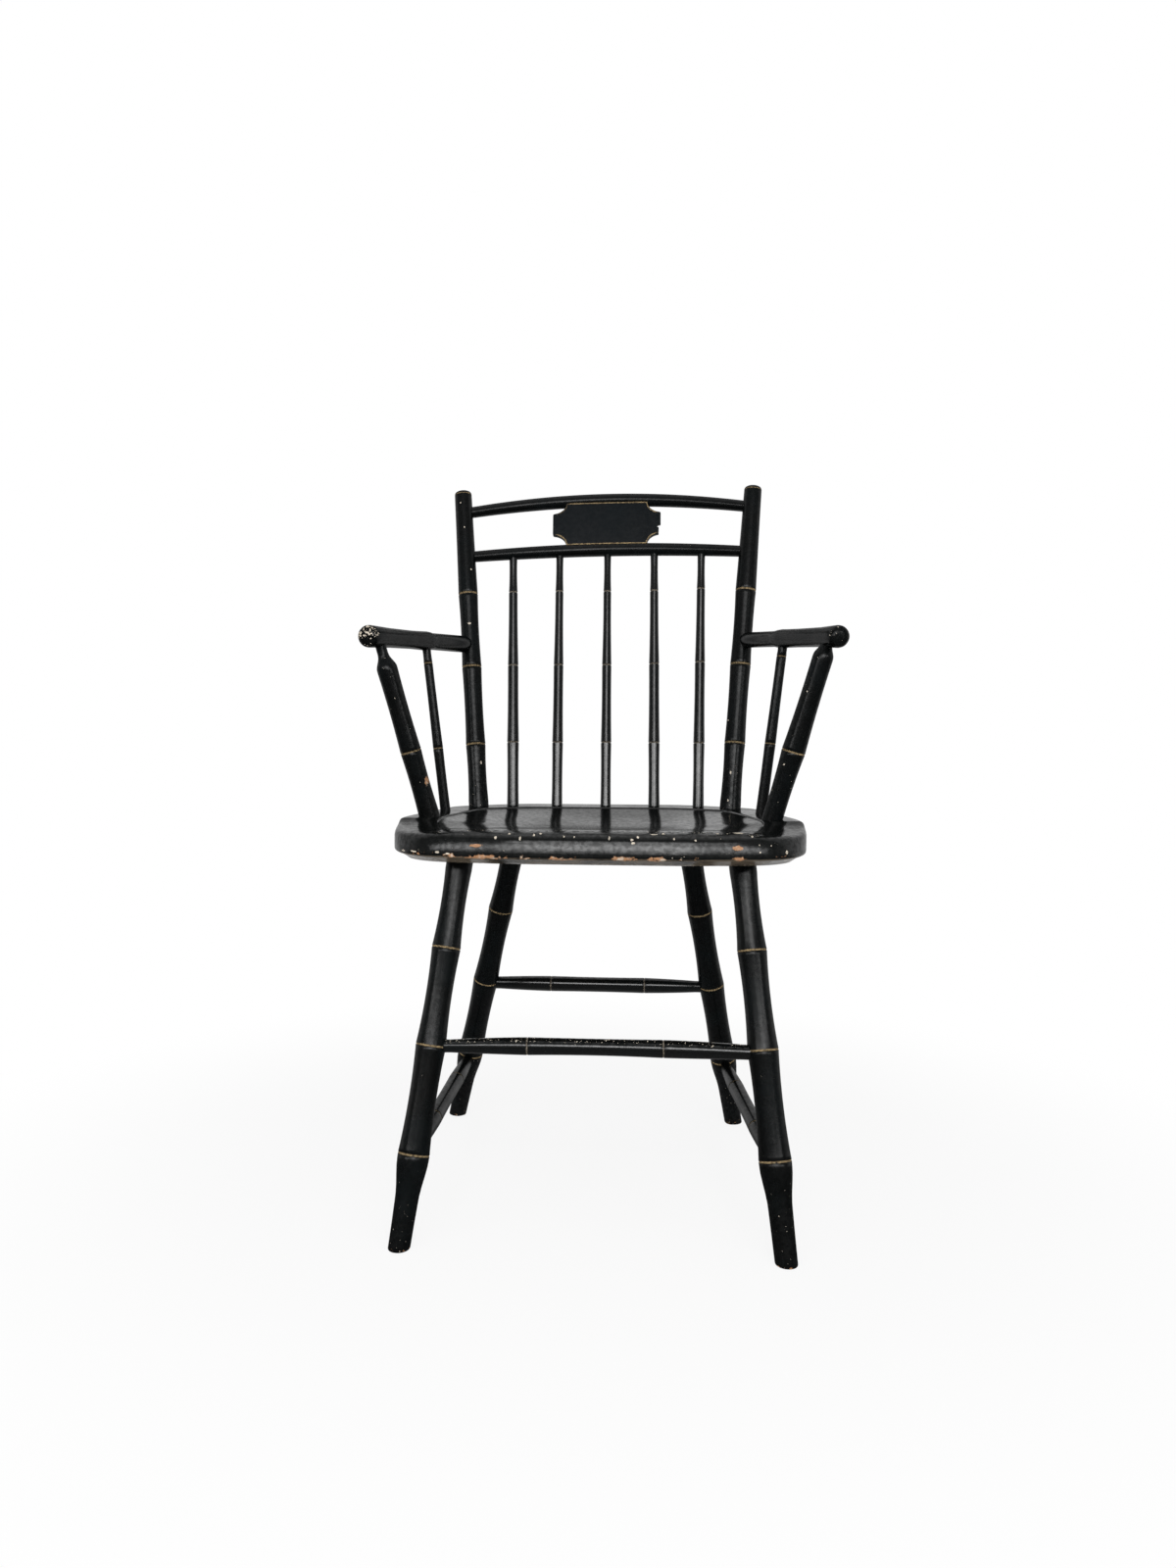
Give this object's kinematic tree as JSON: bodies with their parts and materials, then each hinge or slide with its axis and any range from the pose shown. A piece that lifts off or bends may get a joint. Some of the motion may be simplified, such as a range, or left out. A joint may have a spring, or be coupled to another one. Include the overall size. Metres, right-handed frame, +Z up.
{
  "type": "windsor armchair",
  "caption": "Wooden windsor armchair with a saddled plank seat, bamboo-turned legs, spindles and arms, and a small tablet between bent crest rods.",
  "frame": {"origin": "on the floor, under the middle of the chair's box", "axes": "+Z up, +Y to the chair's back, +X to the right as seen from the front"},
  "size_m": [0.5516, 0.4851, 0.8787],
  "materials": {
    "frame_paint": "worn semi-gloss black paint with thin gold ring lines",
    "seat_paint": "polished black paint, worn to the wood along the front edge",
    "tablet_paint": "semi-gloss black paint with a gold edge line",
    "peg_paint": "black paint over the peg ends"
  },
  "bodies": {
    "root": {"seat": "seat_paint", "tablet": "tablet_paint", "leg_front_left": "frame_paint", "leg_front_right": "frame_paint", "leg_rear_left": "frame_paint", "leg_rear_right": "frame_paint", "stretcher_front": "frame_paint", "stretcher_rear": "frame_paint", "stretcher_left": "frame_paint", "stretcher_right": "frame_paint", "back_post_left": "frame_paint", "back_post_right": "frame_paint", "upper_rod": "frame_paint", "lower_rod": "frame_paint", "back_spindle_1": "frame_paint", "back_spindle_2": "frame_paint", "back_spindle_3": "frame_paint", "back_spindle_4": "frame_paint", "back_spindle_5": "frame_paint", "arm_left": "frame_paint", "arm_right": "frame_paint", "arm_post_left": "frame_paint", "arm_post_right": "frame_paint", "arm_spindle_left": "frame_paint", "arm_spindle_right": "frame_paint", "upper_rod_peg_left": "peg_paint", "upper_rod_peg_right": "peg_paint", "lower_rod_peg_left": "peg_paint", "lower_rod_peg_right": "peg_paint", "arm_peg_left": "peg_paint", "arm_peg_right": "peg_paint"}
  },
  "joints": []
}
